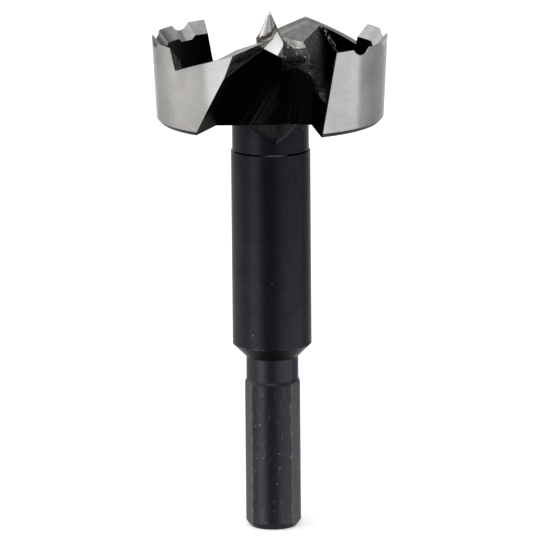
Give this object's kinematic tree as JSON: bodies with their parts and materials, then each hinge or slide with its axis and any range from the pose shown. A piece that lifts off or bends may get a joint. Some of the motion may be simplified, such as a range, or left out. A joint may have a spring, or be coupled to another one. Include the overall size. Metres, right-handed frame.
{
  "type": "forstner bit",
  "caption": "Forstner bit with a toothed rim, chip flutes, a centre point, a round black body and a slimmer shank with flats for a drill chuck.",
  "frame": {"origin": "centre of the flat end of the shank, where the bit stands", "axes": "+Z along the turning axis from the shank to the point, +X and -Y as the picture shows the bit, with -Y to the viewer"},
  "size_m": [0.04, 0.038, 0.09],
  "materials": {
    "tool_steel": "satin black oxide on shank, body and flutes, bright ground steel on the rim, teeth, lips and point"
  },
  "bodies": {
    "root": {"forstner_bit": "tool_steel"}
  },
  "joints": []
}
